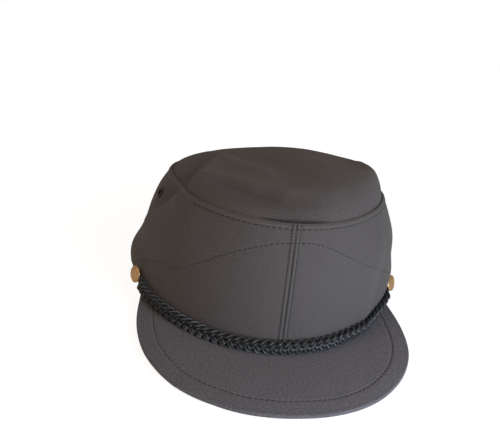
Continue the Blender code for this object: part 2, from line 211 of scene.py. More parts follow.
def seam_point(turn, inset=0.0):
    side = np.sin(turn)
    front = np.cos(turn)
    draw = section_value(turn, "pull") * BULGE + inset
    out_x, out_y = rim_normal(turn)
    x = SEAM_HALF_WIDTH * side + SEAM_LEAN_SIDE - draw * out_x
    y = -SEAM_HALF_LENGTH * front - SEAM_LEAN_FRONT - draw * out_y
    level = SEAM_HEIGHT_REAR + (SEAM_HEIGHT_FRONT - SEAM_HEIGHT_REAR) * (1.0 + front) / 2.0
    extra = SEAM_HEIGHT_SIDE - (SEAM_HEIGHT_FRONT + SEAM_HEIGHT_REAR) / 2.0
    return x, y, level + extra * side**2


def wall_point(turn, up):
    """A point on the plain wall; up is 0 at the base and 1 at the top seam."""
    base_x, base_y = rim_point(turn)
    top_x, top_y, top_z = seam_point(turn)
    out_x, out_y = rim_normal(turn)
    out = section_value(turn, "belly") * BULGE * level_value(turn, up)
    degrees = np.degrees(turn)
    for around, height, wide, tall, depth in SIDE_FOLDS[1:]:
        away = (degrees - around + 180.0) % 360.0 - 180.0
        hill = np.exp(-((away / wide) ** 2) - ((up - height) / tall) ** 2)
        out = out + depth * FOLD_DEPTH * hill * np.minimum(1.0, 4.0 * up) * np.minimum(1.0, 6.0 * (1.0 - up))
    x = base_x * (1.0 - up) + top_x * up + out * out_x
    y = base_y * (1.0 - up) + top_y * up + out * out_y
    return np.stack([x, y, top_z * up], -1)


def wall_frame(turn, up):
    """Points on the wall with their outward directions and the directions along it to the wearer's left."""
    turn, up = np.broadcast_arrays(np.asarray(turn, float), np.asarray(up, float))
    here = wall_point(turn, up)
    along = wall_point(turn + 0.002, up) - wall_point(turn - 0.002, up)
    rise = wall_point(turn, up + 0.002) - wall_point(turn, up - 0.002)
    out = np.cross(along, rise)
    out = out / np.linalg.norm(out, axis=-1, keepdims=True)
    along = along / np.linalg.norm(along, axis=-1, keepdims=True)
    return here, out, along


def share_up(turn, height):
    return height / seam_point(turn)[2]


def middle_of_outline():
    """The middle of the whole cap seen from above, which is X = 0 and Y = 0."""
    turns = np.radians(np.arange(-180.0, 180.0, 1.0))[:, None]
    wall = wall_point(turns, np.linspace(0.0, 1.0, 41)[None, :])
    low_x = wall[..., 0].min()
    high_x = wall[..., 0].max()
    high_y = wall[..., 1].max()
    return np.array([(low_x + high_x) / 2.0, (high_y - PEAK_FRONT) / 2.0, 0.0])


SHIFT = -middle_of_outline()


def smooth_step(low, high, value):
    share = np.clip((value - low) / (high - low), 0.0, 1.0)
    return share * share * (3.0 - 2.0 * share)


def felled_seam(away, row):
    """The height of the cloth beside a seam: a valley, a folded ridge, and the sunken row of stitches."""
    valley = -SEAM_VALLEY * np.exp(-((away / 0.00040) ** 2))
    folded = smooth_step(0.0, 0.0007, away) * (1.0 - smooth_step(row - 0.0004, row + 0.0010, away))
    sunk = -FRONT_STITCH_SINK * np.exp(-(((away - row) / STITCH_SINK_WIDTH) ** 2))
    return valley + FRONT_RIDGE * folded + sunk


def from_line(flat_x, flat_y, line):
    """How far each flat place is from a line, below zero on the line's right,
    and what share of the line lies behind it."""
    nearest = np.full(flat_x.shape, 1.0)
    place = np.zeros(flat_x.shape)
    for spot, ((x0, y0), (x1, y1)) in enumerate(zip(line[:-1], line[1:])):
        span_x = x1 - x0
        span_y = y1 - y0
        from_x = flat_x - x0
        from_y = flat_y - y0
        share = np.clip((from_x * span_x + from_y * span_y) / (span_x**2 + span_y**2), 0.0, 1.0)
        away = np.hypot(from_x - share * span_x, from_y - share * span_y)
        side = np.where(span_x * from_y - span_y * from_x < 0.0, -1.0, 1.0)
        nearer = away < np.abs(nearest)
        nearest = np.where(nearer, away * side, nearest)
        place = np.where(nearer, (spot + share) / (len(line) - 1), place)
    return nearest, place


def crease_cloth(away, place, rise, drop, right, left, pale, dull):
    """The height of the cloth at a crease, and the painted highlight on its crest and painted shade in its
    dent.
    """
    ridge = rise * np.exp(-((away / np.where(away < 0.0, right, left)) ** 2))
    middle = np.sin(math.pi * np.clip(place, 0.0, 1.0))
    dent = smooth_step(0.0, 1.6 * right, -away) * np.exp(-((away / (3.2 * right)) ** 4))
    crest = np.exp(-((away / np.where(away < 0.0, 0.5 * right, 0.5 * left)) ** 2))
    return ridge - drop * dent * middle, (pale * crest - dull * dent) * np.sqrt(middle)


def stiffener_up(turn):
    rows = np.array(STIFFENER_ROW[1:])
    return eased(np.degrees(turn), rows[:, 0], rows[:, 1])


def soft_waves(x, y, z):
    """The slow unevenness of soft cloth, between -1 and 1."""
    first = np.sin(61.0 * x + 1.3) * np.sin(83.0 * z + 0.4 + 1.7 * np.sin(47.0 * y))
    second = np.sin(137.0 * y + 2.1 * np.sin(71.0 * z)) * np.sin(119.0 * x + 0.9)
    third = np.sin(211.0 * z + 1.9 * np.sin(133.0 * x + 0.3)) * np.sin(187.0 * y + 2.2)
    return 0.5 * first + 0.3 * second + 0.2 * third


def wall_creases(turn, up):
    """How far the creases stand off the wall, and the painted highlight and shade they put into the cloth's
    colour.
    """
    girth = turn * CREASE_GIRTH
    stand = np.zeros_like(girth)
    painted_shading = np.zeros_like(girth)
    for line, *shape in WALL_CREASES[1:]:
        flat = [(math.radians(around) * CREASE_GIRTH, share * CREASE_HEIGHT) for around, share in line]
        crease, painted_tone = crease_cloth(*from_line(girth, up * CREASE_HEIGHT, flat), *shape)
        stand = stand + crease
        painted_shading = painted_shading + painted_tone
    return stand * smooth_step(0.0, 0.05, 1.0 - up), painted_shading


def from_seams(turn, up):
    """How far a place is from the front or rear seam, and how far below the top seam."""
    half = RIM_HALF_WIDTH * (1.0 - up) + SEAM_HALF_WIDTH * up
    return half * np.abs(np.sin(turn)), (1.0 - up) * seam_point(turn)[2]


def seam_fold_highlights(turn, up):
    """How much paler the cloth is painted on the folds pressed beside the seams and on the welt below the top
    seam: a painted highlight.
    """
    beside, below = from_seams(turn, up)
    fold = smooth_step(0.0003, 0.0008, beside) * (1.0 - smooth_step(FRONT_ROW - 0.0006, FRONT_ROW, beside))
    welt = 1.0 - smooth_step(0.5 * TOP_ROW, TOP_ROW, below)
    return FRONT_FOLD_HIGHLIGHT * fold + WELT_HIGHLIGHT * welt


def panel_relief(turn, up, here):
    """How far the sewn cloth stands off the plain wall."""
    height = seam_point(turn)[2]
    beside, below = from_seams(turn, up)
    stand = felled_seam(beside, FRONT_ROW)
    stand = stand - TOP_EDGE_ROUND * np.exp(-((below / 0.00075) ** 2))
    stand = stand + SEAM_RIDGE * (1.0 - smooth_step(TOP_ROW - 0.0004, TOP_ROW + 0.0012, below))
    tight = 1.0 - 0.75 * np.exp(-(((np.degrees(turn) + 82.0) / 30.0) ** 4))
    stand = stand - STITCH_SINK * tight * np.exp(-(((below - TOP_ROW) / STITCH_SINK_WIDTH) ** 2))
    in_front = np.abs(turn) < np.radians(80.0)
    slant = (up - stiffener_up(np.clip(turn, -1.4, 1.3))) * height
    stand = stand - STIFFENER_SINK * np.exp(-((slant / 0.0005) ** 2)) * in_front
    stand = stand + STIFFENER_STEP * np.tanh(slant / 0.0012) * np.exp(-((slant / 0.006) ** 2)) * in_front
    stand = stand + wall_creases(turn, up)[0]
    stand = stand - BASE_EDGE_ROUND * np.exp(-((up * height / 0.0005) ** 2))
    return stand + WALL_WAVES * soft_waves(here[..., 0], here[..., 1], here[..., 2])


def cloth_frame(turn, up):
    """Points on the sewn surface of the wall in their final place, with outward and along directions."""
    here, out, along = wall_frame(turn, up)
    stand = panel_relief(np.asarray(turn, float), np.asarray(up, float), here)
    return here + out * stand[..., None] + SHIFT, out, along


def spaced(*stretches):
    """Places from 0, in stretches that each say where they end and how many steps they have."""
    places = [0.0]
    for end, steps in stretches:
        places.extend(np.linspace(places[-1], end, steps + 1)[1:])
    return np.array(places)


def laid_sheet(columns, rows):
    """A flat sheet with its verts, and the column and row that each one is in."""
    sheet = bmesh.new()
    sheet.loops.layers.uv.new("cloth")
    bmesh.ops.create_grid(sheet, x_segments=columns, y_segments=rows, size=1.0)
    spots = np.array([vert.co[:] for vert in sheet.verts])
    column = np.rint((spots[:, 0] + 1.0) / 2.0 * columns).astype(int)
    row = np.rint((spots[:, 1] + 1.0) / 2.0 * rows).astype(int)
    return sheet, column, row


def lay_cloth(sheet, places, painted_shading=None):
    """Lays the cloth's own measure over the sheet, in metres, so that the weave follows it,
    and marks the painted highlight and shade at each vert."""
    layer = sheet.loops.layers.uv["cloth"]
    sheet.verts.index_update()
    for face in sheet.faces:
        for loop in face.loops:
            loop[layer].uv = places[loop.vert.index]
    if painted_shading is not None:
        painted_tone = sheet.verts.layers.float.new("painted_shading")
        for vert, share in zip(sheet.verts, painted_shading):
            vert[painted_tone] = share


def twill_group():
    """Diagonal ribs of a fine wool twill: their height, and a light and dark fleck with each vert's painted
    highlight and shade added.
    """
    group = bpy.data.node_groups.new("twill_weave", "ShaderNodeTree")
    group.interface.new_socket("Cloth Place", in_out="INPUT", socket_type="NodeSocketVector")
    group.interface.new_socket("Rib Scale", in_out="INPUT", socket_type="NodeSocketFloat")
    group.interface.new_socket("Height", in_out="OUTPUT", socket_type="NodeSocketFloat")
    group.interface.new_socket("Fleck With Painted Shading", in_out="OUTPUT", socket_type="NodeSocketFloat")
    nodes = group.nodes
    links = group.links
    place = nodes.new("NodeGroupInput")
    result = nodes.new("NodeGroupOutput")
    scaled = nodes.new("ShaderNodeVectorMath")
    scaled.operation = "SCALE"
    links.new(place.outputs["Cloth Place"], scaled.inputs[0])
    links.new(place.outputs["Rib Scale"], scaled.inputs["Scale"])
    ribs = nodes.new("ShaderNodeTexWave")
    ribs.wave_type = "BANDS"
    ribs.bands_direction = "DIAGONAL"
    ribs.inputs["Scale"].default_value = 0.314
    ribs.inputs["Distortion"].default_value = 1.2
    ribs.inputs["Detail"].default_value = 1.0
    ribs.inputs["Detail Scale"].default_value = 0.6
    links.new(scaled.outputs[0], ribs.inputs["Vector"])
    thread = nodes.new("ShaderNodeTexNoise")
    thread.inputs["Scale"].default_value = 0.9
    thread.inputs["Detail"].default_value = 2.0
    links.new(scaled.outputs[0], thread.inputs["Vector"])
    height = nodes.new("ShaderNodeMix")
    height.data_type = "FLOAT"
    height.inputs["Factor"].default_value = 0.45
    links.new(ribs.outputs["Fac"], height.inputs[2])
    links.new(thread.outputs["Fac"], height.inputs[3])
    grain = nodes.new("ShaderNodeTexNoise")
    grain.inputs["Scale"].default_value = 0.32
    grain.inputs["Detail"].default_value = 3.0
    grain.inputs["Roughness"].default_value = 0.75
    links.new(scaled.outputs[0], grain.inputs["Vector"])
    spread = nodes.new("ShaderNodeMapRange")
    spread.inputs["From Min"].default_value = 0.30
    spread.inputs["From Max"].default_value = 0.70
    links.new(grain.outputs["Fac"], spread.inputs["Value"])
    fleck = nodes.new("ShaderNodeMix")
    fleck.data_type = "FLOAT"
    fleck.inputs["Factor"].default_value = 0.7
    links.new(height.outputs[0], fleck.inputs[2])
    links.new(spread.outputs["Result"], fleck.inputs[3])
    links.new(fleck.outputs[0], result.inputs["Height"])
    # Each vert's painted highlight on crease crests and painted shade in crease dents is added to the fleck.
    painted_tone = nodes.new("ShaderNodeAttribute")
    painted_tone.attribute_name = "painted_shading"
    fleck_with_painted_shading = nodes.new("ShaderNodeMath")
    fleck_with_painted_shading.operation = "ADD"
    links.new(fleck.outputs[0], fleck_with_painted_shading.inputs[0])
    links.new(painted_tone.outputs["Fac"], fleck_with_painted_shading.inputs[1])
    links.new(fleck_with_painted_shading.outputs[0], result.inputs["Fleck With Painted Shading"])
    return group


TWILL = twill_group()


def cloth_material(name, dark, light, rib_scale, bump):
    """Charcoal twill with a soft nap."""
    made = bpy.data.materials.new(name)
    made.use_nodes = True
    nodes = made.node_tree.nodes
    links = made.node_tree.links
    surface = nodes["Principled BSDF"]
    place = nodes.new("ShaderNodeUVMap")
    place.uv_map = "cloth"
    weave = nodes.new("ShaderNodeGroup")
    weave.node_tree = TWILL
    weave.inputs["Rib Scale"].default_value = rib_scale
    links.new(place.outputs["UV"], weave.inputs["Cloth Place"])
    colour = nodes.new("ShaderNodeMix")
    colour.data_type = "RGBA"
    colour.inputs[6].default_value = (*dark, 1.0)
    colour.inputs[7].default_value = (*light, 1.0)
    # The colour follows the fleck, which carries the painted highlight and shade of the creases and seam
    # folds.
    links.new(weave.outputs["Fleck With Painted Shading"], colour.inputs[0])
    links.new(colour.outputs[2], surface.inputs["Base Color"])
    raised = nodes.new("ShaderNodeBump")
    raised.inputs["Strength"].default_value = bump
    raised.inputs["Distance"].default_value = 0.0002
    links.new(weave.outputs["Height"], raised.inputs["Height"])
    links.new(raised.outputs["Normal"], surface.inputs["Normal"])
    surface.inputs["Roughness"].default_value = 0.72
    surface.inputs["Specular IOR Level"].default_value = 0.42
    surface.inputs["Sheen Weight"].default_value = 0.12
    surface.inputs["Sheen Roughness"].default_value = 0.5
    return made


CROWN_DARK = (0.034, 0.026, 0.027)
CROWN_LIGHT = (0.099, 0.084, 0.086)
CROWN_CLOTH = cloth_material("charcoal_twill", CROWN_DARK, CROWN_LIGHT, 3800.0, 1.1)


def add_piece(name, shape, surface, finish, *nodes):
    """Puts a finished shape in the scene, riding on the cap, in place of its CAD nodes."""
    mesh = bpy.data.meshes.new(name)
    shape.to_mesh(mesh)
    shape.free()
    mesh.shade_smooth()
    mesh.set_sharp_from_angle(angle=math.radians(55.0))
    mesh.materials.append(surface)
    piece = bpy.data.objects.new(name, mesh)
    bpy.context.scene.collection.objects.link(piece)
    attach(piece, "root")
    if nodes:
        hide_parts(*nodes)
    return piece


PANEL_PLACES = spaced((0.0155, 18), (0.04, 8), (0.96, 230), (0.9845, 8), (1.0, 18))
PANEL_LEVELS = spaced((0.018, 4), (0.935, 66), (1.0, 18))


def side_panel(name, side, node):
    """Half of the crown's wall, from the centre front to the centre rear, with its vent hole."""
    cloth, column, row = laid_sheet(len(PANEL_PLACES) - 1, len(PANEL_LEVELS) - 1)
    edge = 0.00003 / RIM_HALF_WIDTH
    turn = side * (edge + PANEL_PLACES[column] * (math.pi - 2.0 * edge))
    up = PANEL_LEVELS[row]
    spots, out, along = cloth_frame(turn, up)
    for vert, spot in zip(cloth.verts, spots):
        vert.co = spot
    # The wall's colour carries painted highlights on crease crests and seam folds, and painted shade in the
    # crease dents.
    painted_shading = wall_creases(turn, up)[1] + seam_fold_highlights(turn, up)
    lay_cloth(cloth, np.stack([turn * 0.094, up * 0.076], -1), painted_shading)
    eyelet_turn = np.array(side * math.radians(EYELET_AROUND))
    centre, outward, beside = cloth_frame(eyelet_turn, np.array(EYELET_UP))
    from_centre = spots - centre
    depth = from_centre @ outward
    away = np.linalg.norm(from_centre - depth[:, None] * outward, axis=1)
    verts = list(cloth.verts)
    near = {verts[spot] for spot in np.nonzero(away < EYELET_HOLE + 0.0002)[0]}
    hole = [face for face in cloth.faces if any(vert in near for vert in face.verts)]
    rim = {vert for face in hole for vert in face.verts} - near
    distance = dict(zip(verts, away))
    bmesh.ops.delete(cloth, geom=hole, context="FACES")
    centre = Vector(centre)
    outward = Vector(outward)
    for vert in rim:
        reach = vert.co - centre
        flat = reach * (EYELET_HOLE / distance[vert])
        vert.co = centre + flat + outward * (reach.dot(outward) - flat.dot(outward))
    if side < 0.0:
        bmesh.ops.reverse_faces(cloth, faces=cloth.faces[:])
    outer = set(cloth.verts)
    bottom = [vert for vert, level in zip(verts, row) if level == 0]
    bmesh.ops.solidify(cloth, geom=cloth.faces[:], thickness=WALL_THICK)
    for vert in bottom:
        for link in vert.link_edges:
            inner = link.other_vert(vert)
            if inner not in outer:
                inner.co.z = 0.0
        vert.co.z = 0.0
    bmesh.ops.recalc_face_normals(cloth, faces=cloth.faces[:])
    return add_piece(name, cloth, CROWN_CLOTH, "crown_cloth", node)


side_panel("wall_panel_right", -1.0, "side_panel_right")
side_panel("wall_panel_left", 1.0, "side_panel_left")

# Crown's top
# One oval of the same twill, stretched over a soft pad and sewn inside the folded edge of the side panels,
# so it puffs up and keeps the creases of handling.
TOP_THICK = 0.0016
TOP_HEIGHT = 0.0820
TOP_TILT_SIDE = 0.0073
TOP_TILT_REAR = -0.0080
TOP_SHOULDER = 18.0
TOP_FRONT_SHOULDER = 12.0
TOP_TUCK = 0.0010
TOP_FOLD = 0.0050
TOP_SPOKES = 300
TOP_RINGS = 62

# One row for each broad rise or dip; across and along are shares of the seam's half width and half length.
TOP_FOLDS = (
    ("across", "along", "wide", "long", "up"),
    (-0.35, 0.00, 0.30, 0.90, 0.21),
    (0.25, 0.00, 0.30, 0.90, 0.30),
    (0.75, 0.00, 0.25, 0.90, -0.60),
    (0.00, -0.95, 0.90, 0.38, -1.20),
    (-0.80, -0.20, 0.25, 0.35, -0.35),
)

# Soft creases in the top, each along a line of places across and along it, in the same shares.
# The other columns are as in the wall's creases; a pale below zero paints shade along the line.
FRONT_CREASE = ((-0.62, -0.51), (-0.45, -0.58), (-0.27, -0.69), (-0.16, -0.73), (-0.05, -0.79), (0.28, -0.82))
RIGHT_CREASE = ((-0.50, 0.16), (-0.62, -0.21), (-0.68, -0.44), (-0.73, -0.52), (-0.84, -0.66))
MIDDLE_CREASE = ((-0.18, -0.40), (-0.33, -0.12), (-0.44, 0.13), (-0.55, 0.45))
LEFT_RIPPLE = ((0.37, -0.28), (0.52, -0.30), (0.64, -0.36))
LEFT_CORNER = ((0.84, 0.05), (0.86, -0.08), (0.85, -0.20))
MIDDLE_DIP = ((0.05, -0.45), (0.0, -0.28), (-0.05, 0.10))
TOP_CREASES = (
    ("line", "rise", "drop", "right", "left", "pale", "dull"),
    (FRONT_CREASE, 0.0014, 0.0036, 0.0046, 0.0080, 0.26, 0.13),
    (RIGHT_CREASE, 0.0022, 0.0020, 0.0042, 0.0110, 0.24, 0.20),
    (MIDDLE_CREASE, 0.0015, 0.0014, 0.0060, 0.0090, 0.20, 0.08),
    (LEFT_RIPPLE, 0.0007, 0.0, 0.0050, 0.0050, 0.06, 0.0),
    (LEFT_CORNER, 0.0010, 0.0, 0.0060, 0.0050, 0.0, 0.0),
    (MIDDLE_DIP, -0.0008, 0.0, 0.0100, 0.0100, -0.05, 0.0),
)
TOP_WAVES = 0.00030


def top_creases(across, along):
    """The height of the creases in the top, and the painted highlight and shade they put into the cloth's
    colour.
    """
    stand = np.zeros_like(across)
    painted_shading = np.zeros_like(across)
    for line, *shape in TOP_CREASES[1:]:
        flat = [(place[0] * SEAM_HALF_WIDTH, place[1] * SEAM_HALF_LENGTH) for place in line]
        place = from_line(across * SEAM_HALF_WIDTH, along * SEAM_HALF_LENGTH, flat)
        crease, painted_tone = crease_cloth(*place, *shape)
        stand = stand + crease
        painted_shading = painted_shading + painted_tone
    return stand, painted_shading


def top_point(turn, reach):
    """Points on the crown's top, and the painted highlight and shade on them; reach is 0 at its middle and 1
    at its edge.
    """
    tuck = TOP_TUCK * np.exp(-((turn / 0.21) ** 2))
    edge_x, edge_y, edge_z = seam_point(turn, 0.45 * WALL_THICK + tuck)
    edge_z = edge_z - 0.0006 - tuck
    middle_x = SEAM_LEAN_SIDE
    middle_y = -SEAM_LEAN_FRONT
    x = middle_x + (edge_x - middle_x) * reach
    y = middle_y + (edge_y - middle_y) * reach
    across = (x - middle_x) / SEAM_HALF_WIDTH
    along = (y - middle_y) / SEAM_HALF_LENGTH
    edge_across = (edge_x - middle_x) / SEAM_HALF_WIDTH
    edge_along = (edge_y - middle_y) / SEAM_HALF_LENGTH
    flat = TOP_HEIGHT + TOP_TILT_SIDE * across + TOP_TILT_REAR * along
    flat_at_edge = TOP_HEIGHT + TOP_TILT_SIDE * edge_across + TOP_TILT_REAR * edge_along
    shoulder = TOP_SHOULDER + (TOP_FRONT_SHOULDER - TOP_SHOULDER) * np.clip(np.cos(turn), 0.0, 1.0) ** 2
    z = flat - (flat_at_edge - edge_z) * reach**shoulder
    for fold_x, fold_y, wide, long, rise in TOP_FOLDS[1:]:
        hill = np.exp(-(((across - fold_x) / wide) ** 2) - ((along - fold_y) / long) ** 2)
        z = z + rise * TOP_FOLD * hill * (1.0 - reach**12)
    crease, painted_shading = top_creases(across, along)
    crease = crease + TOP_WAVES * soft_waves(x, y, 0.3 * x + z)
    z = z + crease * (1.0 - reach**30)
    return np.stack([x, y, z], -1), painted_shading


def crown_top():
    """The sheet of the crown's top, turned out flat from one spoke and then lifted into its puffed shape."""
    cloth = bmesh.new()
    cloth.loops.layers.uv.new("cloth")
    spoke = []
    for ring in range(TOP_RINGS + 1):
        reach = 1.0 - (1.0 - ring / TOP_RINGS) ** 1.9
        spoke.append(cloth.verts.new((reach, 0.0, 0.0)))
    edges = [cloth.edges.new(pair) for pair in zip(spoke[:-1], spoke[1:])]
    bmesh.ops.spin(
        cloth,
        geom=spoke + edges,
        axis=(0.0, 0.0, 1.0),
        cent=(0.0, 0.0, 0.0),
        angle=2.0 * math.pi,
        steps=TOP_SPOKES,
        use_merge=True,
    )
    bmesh.ops.remove_doubles(cloth, verts=cloth.verts[:], dist=0.00001)
    flat = np.array([vert.co[:] for vert in cloth.verts])
    reach = np.minimum(1.0, np.hypot(flat[:, 0], flat[:, 1]))
    spots, painted_shading = top_point(np.arctan2(flat[:, 0], -flat[:, 1]), reach)
    spots = spots + SHIFT
    for vert, spot in zip(cloth.verts, spots):
        vert.co = spot
    lay_cloth(cloth, spots[:, :2], painted_shading)
    bmesh.ops.recalc_face_normals(cloth, faces=cloth.faces[:])
    if sum(face.normal.z for face in cloth.faces) < 0.0:
        bmesh.ops.reverse_faces(cloth, faces=cloth.faces[:])
    bmesh.ops.solidify(cloth, geom=cloth.faces[:], thickness=TOP_THICK)
    bmesh.ops.recalc_face_normals(cloth, faces=cloth.faces[:])
    return add_piece("puffed_top", cloth, CROWN_CLOTH, "crown_cloth", "crown_top")


crown_top()

# Peak
# A flat stiff board covered above and below with the same twill, rounded at its free edge,
# with one row of stitches that follows the edge.
PEAK_HALF_WIDTH = 0.0787
PEAK_SQUARE_AT = 0.0629
PEAK_END = 0.0450
PEAK_ROUNDNESS_RIGHT = 2.25
PEAK_ROUNDNESS_LEFT = 2.42
PEAK_THICK = 0.0025
PEAK_SIDE_LIFT = 0.0035
PEAK_INTO_WALL = 0.0003
PEAK_ROW = 0.0091
PEAK_ROUND = 0.00085
PEAK_EDGE_DROP = 0.0003
PEAK_ROW_SINK = 0.00030
PEAK_WAVES = 0.00018
PEAK_BAND = 0.0125
PEAK_COLUMNS = 230
PEAK_INNER_ROWS = 16
PEAK_BAND_ROWS = 38
PEAK_ROUND_ROWS = 10
PEAK_UNDER_ROWS = 24
EDGE_POINTS = 461

# How far the free edge stands outside its plain curve, from the wearer's right to the left.
PEAK_TRIM = (
    ("bend", "out"),
    (-90.0, 0.0),
    (-62.0, 0.0013),
    (-42.0, 0.0010),
    (-26.0, -0.0005),
    (-8.0, -0.0004),
    (5.0, 0.0),
    (40.0, -0.0002),
    (64.0, 0.0008),
    (90.0, 0.0),
)

# The peak's twill is painted paler and cooler than the crown's same cloth: a painted highlight for the
# brighter light the peak catches.
PEAK_DARK = (0.033, 0.030, 0.036)
PEAK_LIGHT = (0.166, 0.152, 0.177)
PEAK_CLOTH = cloth_material("peak_twill", PEAK_DARK, PEAK_LIGHT, 3000.0, 1.5)


def along_line(points, count):
    """Points spaced evenly along a line of points."""
    steps = np.linalg.norm(np.diff(points, axis=0), axis=1)
    far = np.concatenate([[0.0], np.cumsum(steps)])
    wanted = np.linspace(0.0, far[-1], count)
    return np.stack([np.interp(wanted, far, points[:, spot]) for spot in range(points.shape[1])], -1)


def peak_height(x):
    """The underside of the peak, which curls up a little towards its sides."""
    return PEAK_SIDE_LIFT * (x / PEAK_HALF_WIDTH) ** 2


def peak_lines(count):
    """The peak's edge along the crown and its free edge, with as many points in each."""
    turns = np.radians(np.arange(-100.0, 100.5, 0.5))
    level = peak_height(rim_point(turns)[0]) + PEAK_THICK
    walls = np.stack([wall_point(turns, share_up(turns, height)) for height in (0.0, level)])
    out_x, out_y = rim_normal(turns)
    reach = (walls[..., 0] * out_x + walls[..., 1] * out_y).max(0)
    base = walls[0][:, 0] * out_x + walls[0][:, 1] * out_y
    grow = reach - base - PEAK_INTO_WALL
    inner = np.stack([walls[0][:, 0] + grow * out_x, walls[0][:, 1] + grow * out_y], -1)
    inner = inner[inner[:, 1] < -PEAK_END]
    bends = np.radians(np.arange(-90.0, 90.5, 0.5))
    roundness = np.where(bends < 0.0, PEAK_ROUNDNESS_RIGHT, PEAK_ROUNDNESS_LEFT)
    share_side = np.sign(np.sin(bends)) * np.abs(np.sin(bends)) ** (2.0 / roundness)
    share_front = np.abs(np.cos(bends)) ** (2.0 / roundness)
    outer_x = PEAK_HALF_WIDTH * share_side
    outer_y = -PEAK_SQUARE_AT - (PEAK_FRONT - PEAK_SQUARE_AT) * share_front
    outer = np.stack([outer_x, outer_y], -1)
    trim = np.array(PEAK_TRIM[1:])
    away = np.interp(np.degrees(bends), trim[:, 0], trim[:, 1])[:, None]
    outer = outer + away * np.column_stack([np.sin(bends), -np.cos(bends)])
    start = np.array([[-PEAK_HALF_WIDTH, -PEAK_END]])
    end = np.array([[PEAK_HALF_WIDTH, -PEAK_END]])
    outer = np.concatenate([start, outer, end])
    return along_line(inner, count), along_line(outer, count)


PEAK_WALL_EDGE, PEAK_FREE_EDGE = peak_lines(EDGE_POINTS)


def peak_top_relief(spots):
    """The height of the covered board over its plain top, given places on it."""
    away = np.abs(from_line(spots[:, 0], spots[:, 1], PEAK_FREE_EDGE[::4])[0])
    sunk = -PEAK_ROW_SINK * np.exp(-(((away - PEAK_ROW) / 0.0006) ** 2))
    pressed = -PEAK_EDGE_DROP * (1.0 - smooth_step(0.0004, PEAK_ROW, away))
    return sunk + pressed + PEAK_WAVES * soft_waves(spots[:, 0], spots[:, 1], spots[:, 1] - spots[:, 0])


def peak():
    """A sheet wrapped round the board, from the crown over the top, round the free edge and back below."""
    inner, outer = peak_lines(PEAK_COLUMNS + 1)
    over = PEAK_INNER_ROWS + PEAK_BAND_ROWS
    rounded = over + PEAK_ROUND_ROWS
    last = rounded + PEAK_UNDER_ROWS + 1
    cloth, column, row = laid_sheet(PEAK_COLUMNS, last)
    width = np.linalg.norm(outer - inner, axis=1)[column]
    band = np.minimum(PEAK_BAND, 0.8 * width)
    curve = PEAK_ROUND * band / PEAK_BAND
    inside = np.clip(row / PEAK_INNER_ROWS, 0.0, 1.0) * (width - band)
    beside = np.clip((row - PEAK_INNER_ROWS) / PEAK_BAND_ROWS, 0.0, 1.0) * (band - curve)
    bend = np.clip((row - over) / PEAK_ROUND_ROWS, 0.0, 1.0) * math.pi
    beneath = np.clip((row - rounded) / PEAK_UNDER_ROWS, 0.0, 1.0) * (width - curve)
    far = np.where(row == last, 0.0, inside + beside - beneath + curve * np.sin(bend))
    share = (far / np.maximum(width, 0.000001))[:, None]
    flat = inner[column] * (1.0 - share) + outer[column] * share
    upper = np.where(row == last, 1.0, (1.0 + np.cos(bend)) / 2.0)
    height = peak_height(flat[:, 0]) + upper * (PEAK_THICK + peak_top_relief(flat))
    spots = np.column_stack([flat, height]) + SHIFT
    for vert, spot in zip(cloth.verts, spots):
        vert.co = spot
    lay_cloth(cloth, spots[:, :2])
    bmesh.ops.remove_doubles(cloth, verts=cloth.verts[:], dist=0.000002)
    ends = [edge for edge in cloth.edges if edge.is_boundary]
    bmesh.ops.holes_fill(cloth, edges=ends, sides=0)
    bmesh.ops.recalc_face_normals(cloth, faces=cloth.faces[:])
    return add_piece("covered_peak", cloth, PEAK_CLOTH, "peak_cloth", "peak")


peak()

# Rows of stitches
# Dark polyester thread in short even stitches, each one pulled a little into the cloth,
# along the top seam, beside the front and rear seams, round the stiffener and along the peak's edge.
# A dark strand of thread lies in the top seam's opening at the centre front, as painted shade for the gap.
SEAM_OPENING = 0.0019
GAP_SHADE_RADIUS = 0.00040
GAP_SHADE_LIFT = 0.0004
ROW_STATIONS = 300

# Each row's stitches: from one stitch to the next, its length, the thread's radius, and how far it stands up.
TOP_STITCHES = (0.0032, 0.0020, 0.00030, 0.00016)
SEAM_STITCHES = (0.00145, 0.00080, 0.00042, 0.00034)
BESIDE_STITCHES = (0.00145, 0.00068, 0.00035, 0.00028)
STIFFENER_STITCHES = (0.0028, 0.0019, 0.00026, 0.00008)
STIFFENER_END_STITCHES = (0.0028, 0.0019, 0.00017, 0.00008)
PEAK_STITCHES = (0.0028, 0.0020, 0.00021, 0.00008)

# The run of one stitch, as shares of its length from its middle, of the thread's radius and of its lift.
STITCH_BOW = (
    ("along", "radius", "lift"),
    (-0.50, 0.55, -0.8),
    (-0.34, 0.95, 0.6),
    (0.00, 1.00, 1.0),
    (0.34, 0.95, 0.6),
    (0.50, 0.55, -0.8),
)


